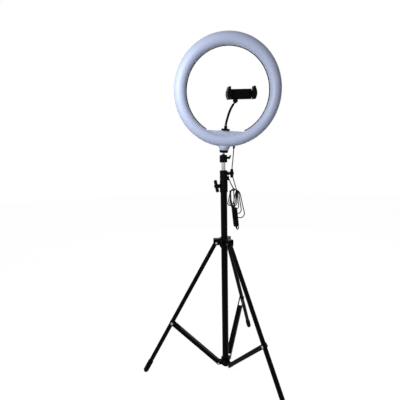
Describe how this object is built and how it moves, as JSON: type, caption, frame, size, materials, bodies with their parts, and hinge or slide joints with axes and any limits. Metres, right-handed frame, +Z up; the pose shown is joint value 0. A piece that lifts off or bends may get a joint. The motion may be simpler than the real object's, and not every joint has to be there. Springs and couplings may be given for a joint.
{
  "type": "ring light on a light stand",
  "caption": "Ring light with a milky diffuser on a ball head and a folding telescopic light stand, with a gooseneck phone clamp inside the ring and a hanging USB lead with inline controller.",
  "frame": {"origin": "on the floor, below the middle of the part's box without its lead", "axes": "+Z up along the stand's tube, the ring faces -Y, +X to the right of someone who looks at the lit face"},
  "size_m": [0.4468, 0.4812, 1.0541],
  "materials": {
    "black_paint": "satin",
    "black_plastic": "satin",
    "black_rubber": "matt",
    "bright_steel": "bright",
    "white_plastic": "satin",
    "milky_plastic": "satin",
    "circuit_board": "matt"
  },
  "bodies": {
    "column": {"lower_tube": "black_paint", "column_end_plug": "black_plastic", "spreader_collar": "black_plastic", "spreader_pin_1": "bright_steel", "spreader_pin_2": "bright_steel", "spreader_pin_3": "bright_steel", "lower_collar": "black_plastic"},
    "hub": {"leg_hub": "black_plastic", "hub_pin_1": "bright_steel", "hub_pin_2": "bright_steel", "hub_pin_3": "bright_steel"},
    "hub_knob": {"hub_knob": "black_plastic"},
    "lower_knob": {"lower_knob": "black_plastic"},
    "mid_section": {"mid_tube": "black_paint", "upper_collar": "black_plastic", "cord_drop": "black_rubber", "cord_hank": "black_rubber", "cord_link": "black_rubber", "cord_tail": "black_rubber", "cord_tie": "black_rubber", "controller_front": "black_plastic", "controller_back": "black_plastic", "usb_plug": "black_plastic", "usb_shell": "bright_steel"},
    "upper_knob": {"upper_knob": "black_plastic"},
    "top_section": {"top_tube": "bright_steel", "top_guide": "black_plastic", "mount_stud": "bright_steel"},
    "ball_base": {"ball_housing": "black_paint"},
    "ball_lever": {"ball_lever": "black_plastic"},
    "ring_head": {"ball_stem": "bright_steel", "platform_disc": "black_plastic", "neck_bush": "bright_steel", "back_shell": "white_plastic", "diffuser": "milky_plastic", "led_board": "circuit_board", "inner_rim": "black_plastic", "cable_gland": "black_rubber"},
    "holder_base": {"holder_base": "black_plastic", "gooseneck_lower": "black_rubber"},
    "holder_neck": {"gooseneck_upper": "black_rubber", "clamp_ball": "black_paint"},
    "clamp": {"clamp_body": "black_plastic", "fixed_pad": "black_rubber", "clamp_spring": "bright_steel"},
    "jaw": {"sliding_jaw": "black_plastic", "jaw_pad": "black_rubber"},
    "leg_1": {"leg_1": "black_paint", "foot_1": "black_rubber"},
    "brace_1": {"brace_1": "black_paint"},
    "button_1": {"button_1": "black_rubber"},
    "leg_2": {"leg_2": "black_paint", "foot_2": "black_rubber"},
    "brace_2": {"brace_2": "black_paint"},
    "button_2": {"button_2": "black_rubber"},
    "leg_3": {"leg_3": "black_paint", "foot_3": "black_rubber"},
    "brace_3": {"brace_3": "black_paint"},
    "button_3": {"button_3": "black_rubber"}
  },
  "joints": [
    {"name": "hub_slide", "type": "slide", "parent": "column", "child": "hub", "axis": [0, 0, 1], "range_m": [0, 0.09462]},
    {"name": "leg_1_fold", "type": "hinge", "parent": "hub", "child": "leg_1", "pos_m": [0.02577, 0.00667, 0.4358], "axis": [-0.0412, -0.9992, 0], "range_deg": [0, 21.16]},
    {"name": "brace_1_fold", "type": "hinge", "parent": "column", "child": "brace_1", "pos_m": [0.02737, 0.00661, 0.0196], "axis": [0.0412, 0.9992, 0], "range_deg": [0, 33.01]},
    {"name": "leg_2_fold", "type": "hinge", "parent": "hub", "child": "leg_2", "pos_m": [0.06601, -0.01882, 0.4358], "axis": [0.8859, 0.4639, 0], "range_deg": [0, 21.16]},
    {"name": "brace_2_fold", "type": "hinge", "parent": "column", "child": "brace_2", "pos_m": [0.06527, -0.01741, 0.0196], "axis": [-0.8859, -0.4639, 0], "range_deg": [0, 33.01]},
    {"name": "leg_3_fold", "type": "hinge", "parent": "hub", "child": "leg_3", "pos_m": [0.06797, 0.02877, 0.4358], "axis": [-0.8447, 0.5352, 0], "range_deg": [0, 21.16]},
    {"name": "brace_3_fold", "type": "hinge", "parent": "column", "child": "brace_3", "pos_m": [0.06711, 0.02742, 0.0196], "axis": [0.8447, -0.5352, 0], "range_deg": [0, 33.01]},
    {"name": "mid_slide", "type": "slide", "parent": "column", "child": "mid_section", "axis": [0, 0, 1], "range_m": [0, 0.46]},
    {"name": "top_slide", "type": "slide", "parent": "mid_section", "child": "top_section", "axis": [0, 0, 1], "range_m": [0, 0.46], "deforming": ["cord_drop"]},
    {"name": "head_pan", "type": "hinge", "parent": "top_section", "child": "ball_base", "pos_m": [0.05325, 0.00554, 0.7], "axis": [0, 0, 1], "range_deg": [-90, 90], "deforming": ["cord_drop"]},
    {"name": "head_tilt", "type": "hinge", "parent": "ball_base", "child": "ring_head", "pos_m": [0.05325, 0.00554, 0.7095], "axis": [0.9996, -0.0288, 0], "range_deg": [-35, 20], "deforming": ["cord_drop"]},
    {"name": "lower_knob_turn", "type": "hinge", "parent": "column", "child": "lower_knob", "pos_m": [0.04273, 0.00311, 0.618], "axis": [-0.9744, -0.225, 0], "continuous": true},
    {"name": "upper_knob_turn", "type": "hinge", "parent": "mid_section", "child": "upper_knob", "pos_m": [0.06248, 0.00441, 0.657], "axis": [0.9925, -0.1219, 0], "continuous": true},
    {"name": "hub_knob_turn", "type": "hinge", "parent": "hub", "child": "hub_knob", "pos_m": [0.04747, -0.00358, 0.4358], "axis": [-0.5352, -0.8447, 0], "continuous": true},
    {"name": "ball_lever_turn", "type": "hinge", "parent": "ball_base", "child": "ball_lever", "pos_m": [0.06278, 0.00437, 0.7055], "axis": [0.9925, -0.1219, 0], "range_deg": [-120, 60]},
    {"name": "gooseneck_turn", "type": "hinge", "parent": "ring_head", "child": "holder_base", "pos_m": [0.05876, -0.00311, 0.788], "axis": [0.0553, -0.1716, 0.9836], "continuous": true},
    {"name": "gooseneck_bend", "type": "hinge", "parent": "holder_base", "child": "holder_neck", "pos_m": [0.0672, -0.01149, 0.83508], "axis": [0.0284, 0.985, 0.1702], "range_deg": [-30, 8]},
    {"name": "clamp_tilt", "type": "hinge", "parent": "holder_neck", "child": "clamp", "pos_m": [0.08694, -0.01823, 0.8708], "axis": [0.9993, -0.0322, 0.0198], "range_deg": [-20, 20]},
    {"name": "jaw_slide", "type": "slide", "parent": "clamp", "child": "jaw", "axis": [0.9993, -0.0322, 0.0198], "range_m": [0, 0.018], "stiffness_N_per_m": 150, "springref_m": -0.03, "deforming": ["clamp_spring"]},
    {"name": "button_1_press", "type": "slide", "parent": "mid_section", "child": "button_1", "axis": [0.1219, 0.9925, 0], "range_m": [0, 0.0008], "stiffness_N_per_m": 800},
    {"name": "button_2_press", "type": "slide", "parent": "mid_section", "child": "button_2", "axis": [0.1219, 0.9925, 0], "range_m": [0, 0.0008], "stiffness_N_per_m": 800},
    {"name": "button_3_press", "type": "slide", "parent": "mid_section", "child": "button_3", "axis": [0.1219, 0.9925, 0], "range_m": [0, 0.0008], "stiffness_N_per_m": 800}
  ],
  "couplings": [
    {"joint": "leg_1_fold", "follows": "hub_slide", "rad_per_m": 3.8947},
    {"joint": "brace_1_fold", "follows": "hub_slide", "rad_per_m": 6.0802},
    {"joint": "leg_2_fold", "follows": "hub_slide", "rad_per_m": 3.8947},
    {"joint": "brace_2_fold", "follows": "hub_slide", "rad_per_m": 6.0802},
    {"joint": "leg_3_fold", "follows": "hub_slide", "rad_per_m": 3.8947},
    {"joint": "brace_3_fold", "follows": "hub_slide", "rad_per_m": 6.0802}
  ]
}
